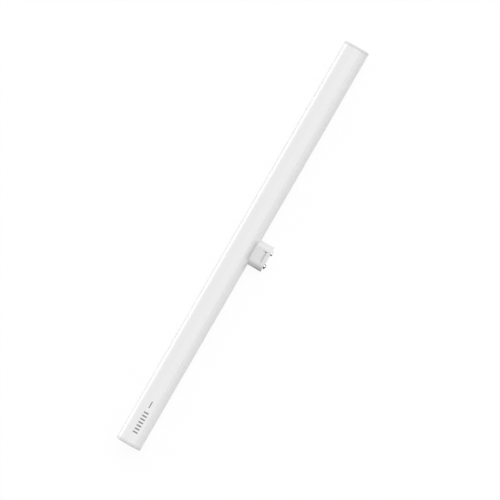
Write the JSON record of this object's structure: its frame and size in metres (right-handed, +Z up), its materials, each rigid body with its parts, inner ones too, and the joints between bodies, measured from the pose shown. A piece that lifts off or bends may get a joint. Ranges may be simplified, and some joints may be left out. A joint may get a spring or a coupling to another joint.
{
  "type": "tubular lamp with centre peg cap",
  "caption": "Straight white tubular lamp in a long opal sleeve with flat end caps, plugged in by a flat-sided peg with round contacts at mid-length.",
  "frame": {"origin": "centre of the footprint, on the surface that the lamp lies on", "axes": "+X along the tube; +Z up from the surface; the peg points to -Y and slopes down to the surface"},
  "size_m": [0.5, 0.047, 0.0295],
  "materials": {
    "diffuser": "opal, satin",
    "shell": "white, satin",
    "cap": "white, fine satin",
    "peg": "white, satin",
    "contact": "nickel plated, polished",
    "tag": "tinned",
    "carrier": "white",
    "film": "insulating sheet",
    "driver_board": "green solder mask",
    "fuse": "lacquered",
    "varistor": "epoxy coated",
    "film_capacitor": "moulded box",
    "semiconductor": "moulded black",
    "electrolytic": "sleeved can",
    "choke": "heat shrink sleeve",
    "ferrite": "sintered",
    "winding": "yellow tape",
    "chip_parts": "fired",
    "tray": "mill finish",
    "tape": "thermal adhesive",
    "led_board": "white solder mask",
    "led": "phosphor window",
    "screw": "zinc plated",
    "live_wire": "brown insulation",
    "neutral_wire": "blue insulation",
    "plus_wire": "red insulation",
    "minus_wire": "black insulation"
  },
  "bodies": {
    "root": {"diffuser": "diffuser", "back_shell": "shell", "end_cap_left": "cap", "end_cap_right": "cap", "peg_body": "peg", "contact_pin_left": "contact", "contact_pin_right": "contact", "solder_tag_left": "tag", "solder_tag_right": "tag", "driver_carrier": "carrier", "insulating_film": "film", "driver_board": "driver_board", "fuse_resistor": "fuse", "varistor": "varistor", "film_capacitor": "film_capacitor", "bridge_rectifier": "semiconductor", "filter_choke": "choke", "bulk_capacitor": "electrolytic", "control_chip": "semiconductor", "transformer_core": "ferrite", "transformer_winding": "winding", "output_diode": "semiconductor", "output_capacitor": "electrolytic", "chip_parts": "chip_parts", "led_tray": "tray", "thermal_tape": "tape", "led_board": "led_board", "led_packages": "led", "board_screws": "screw", "live_lead": "live_wire", "neutral_lead": "neutral_wire", "led_lead_plus": "plus_wire", "led_lead_minus": "minus_wire"}
  },
  "joints": []
}
